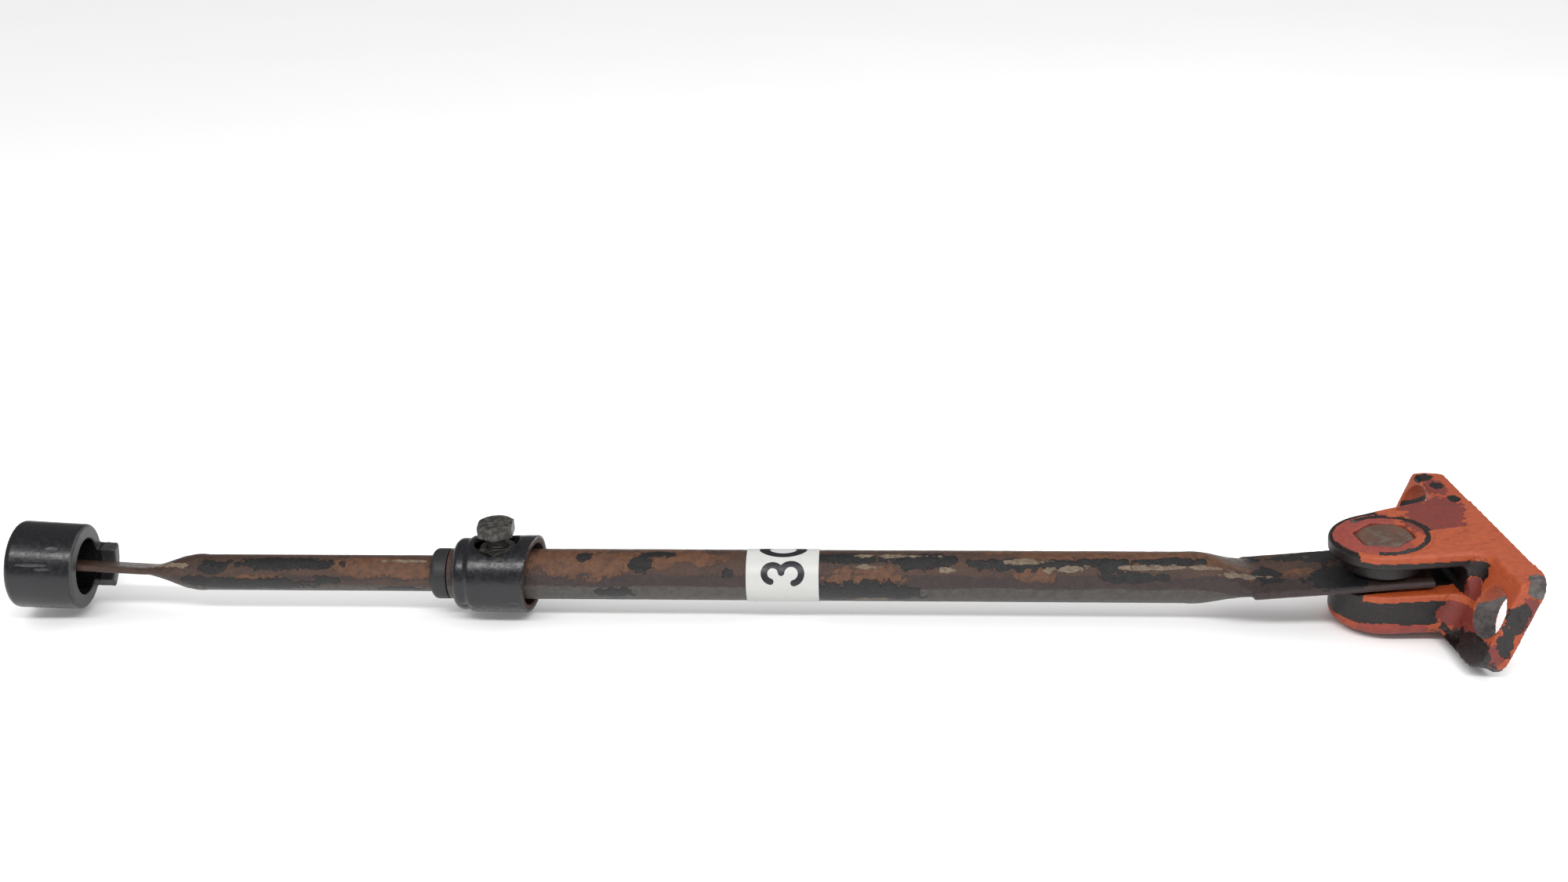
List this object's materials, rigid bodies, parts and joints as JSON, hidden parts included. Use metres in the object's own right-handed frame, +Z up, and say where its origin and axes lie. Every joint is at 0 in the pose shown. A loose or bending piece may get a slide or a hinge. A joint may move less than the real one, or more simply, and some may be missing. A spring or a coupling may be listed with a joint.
{
  "type": "telescopic_stay",
  "caption": "Telescopic stay arm with a cast clevis mounting bracket, a sliding inner tube clamped by a set bolt in a collar, and an end ring.",
  "frame": {"origin": "centre of the bracket's inclined mounting face", "axes": "+X along the strut from the end ring towards the bracket, +Z up through the pivot bolt's head, +Y across"},
  "size_m": [0.7232, 0.1299, 0.0505],
  "materials": {
    "bracket_paint": "worn orange paint over red primer and dark iron",
    "tube_rust": "rusted steel with flaking black paint",
    "dark_steel": "dull, pitted",
    "bolt_rust": "rusty bronze-brown",
    "black_satin": "satin black",
    "grey_steel": "dull grey",
    "black_polymer": "matte, scuffed",
    "label_film": "white printed label, slightly dirty"
  },
  "bodies": {
    "bracket": {"bracket": "bracket_paint", "pivot_bolt": "bolt_rust", "pivot_spring_washer": "dark_steel", "pivot_nut": "dark_steel", "wear_washer_upper": "dark_steel", "wear_washer_lower": "dark_steel"},
    "outer_tube": {"outer_tube": "tube_rust", "label": "label_film", "guide_bush": "grey_steel", "collar": "black_satin", "lock_nut": "grey_steel"},
    "pressure_pad": {"pressure_pad": "grey_steel"},
    "set_bolt": {"set_bolt": "dark_steel"},
    "slider": {"rear_guide_ring": "grey_steel"},
    "inner_tube": {"inner_tube": "tube_rust", "end_ring": "black_polymer"}
  },
  "joints": [
    {"name": "strut_pivot", "type": "hinge", "parent": "bracket", "child": "outer_tube", "pos_m": [-0.04018, -0.00526, 0.00287], "axis": [-0.0872, 0, 0.9962], "range_deg": [-84, 96]},
    {"name": "set_bolt_turn", "type": "hinge", "parent": "pressure_pad", "child": "set_bolt", "pos_m": [-0.46388, -0.00526, 0.01762], "axis": [0, 0, 1], "range_deg": [0, 960]},
    {"name": "set_bolt_lift", "type": "slide", "parent": "outer_tube", "child": "pressure_pad", "axis": [0, 0, 1], "range_m": [0, 0.004]},
    {"name": "extension", "type": "slide", "parent": "outer_tube", "child": "slider", "axis": [-1, 0, 0], "range_m": [-0.112, 0.13]},
    {"name": "inner_twist", "type": "hinge", "parent": "slider", "child": "inner_tube", "pos_m": [-0.31618, -0.00526, -0.00238], "axis": [1, 0, 0], "continuous": true}
  ],
  "couplings": [
    {"joint": "set_bolt_turn", "follows": "set_bolt_lift", "rad_per_m": 4188.8}
  ]
}
